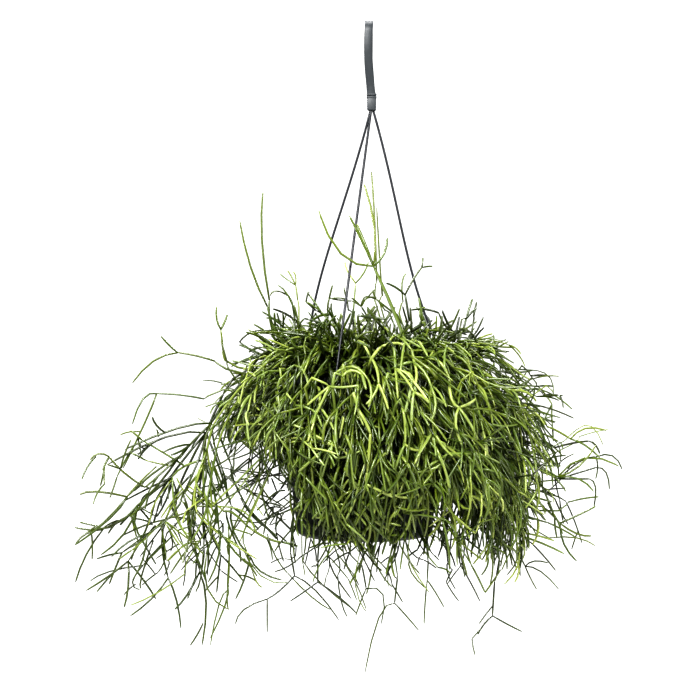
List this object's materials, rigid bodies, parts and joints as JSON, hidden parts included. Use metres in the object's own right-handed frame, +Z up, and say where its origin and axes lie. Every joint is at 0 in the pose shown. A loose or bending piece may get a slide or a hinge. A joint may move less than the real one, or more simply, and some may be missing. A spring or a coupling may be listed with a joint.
{
  "type": "potted mistletoe cactus",
  "caption": "Plastic hanging pot on slim strands and a strap hook, with a dense mop of thin forked cactus stems that arch over its rim and trail below it.",
  "frame": {"origin": "flat seat on the inside of the hook's bend, where the pot hangs", "axes": "+Z up, -Y towards the viewer, +X to the viewer's right; the pot and the plant hang below the origin"},
  "size_m": [0.5032, 0.3402, 0.5996],
  "materials": {
    "hanger_plastic": "satin moulded plastic, slate grey",
    "pot_plastic": "satin moulded plastic, near black",
    "potting_soil": "damp crumbly peat",
    "cactus_stem": "smooth waxy green skin"
  },
  "bodies": {
    "root": {"hanger_hook": "hanger_plastic", "hanger_strand_1": "hanger_plastic", "hanger_strand_2": "hanger_plastic", "hanger_strand_3": "hanger_plastic", "pot": "pot_plastic", "soil": "potting_soil", "stem_clump_1": "cactus_stem", "stem_clump_2": "cactus_stem", "stem_clump_3": "cactus_stem", "stem_clump_4": "cactus_stem", "stem_clump_5": "cactus_stem", "stem_clump_6": "cactus_stem", "stem_clump_7": "cactus_stem", "stem_clump_8": "cactus_stem", "stem_clump_9": "cactus_stem"}
  },
  "joints": []
}
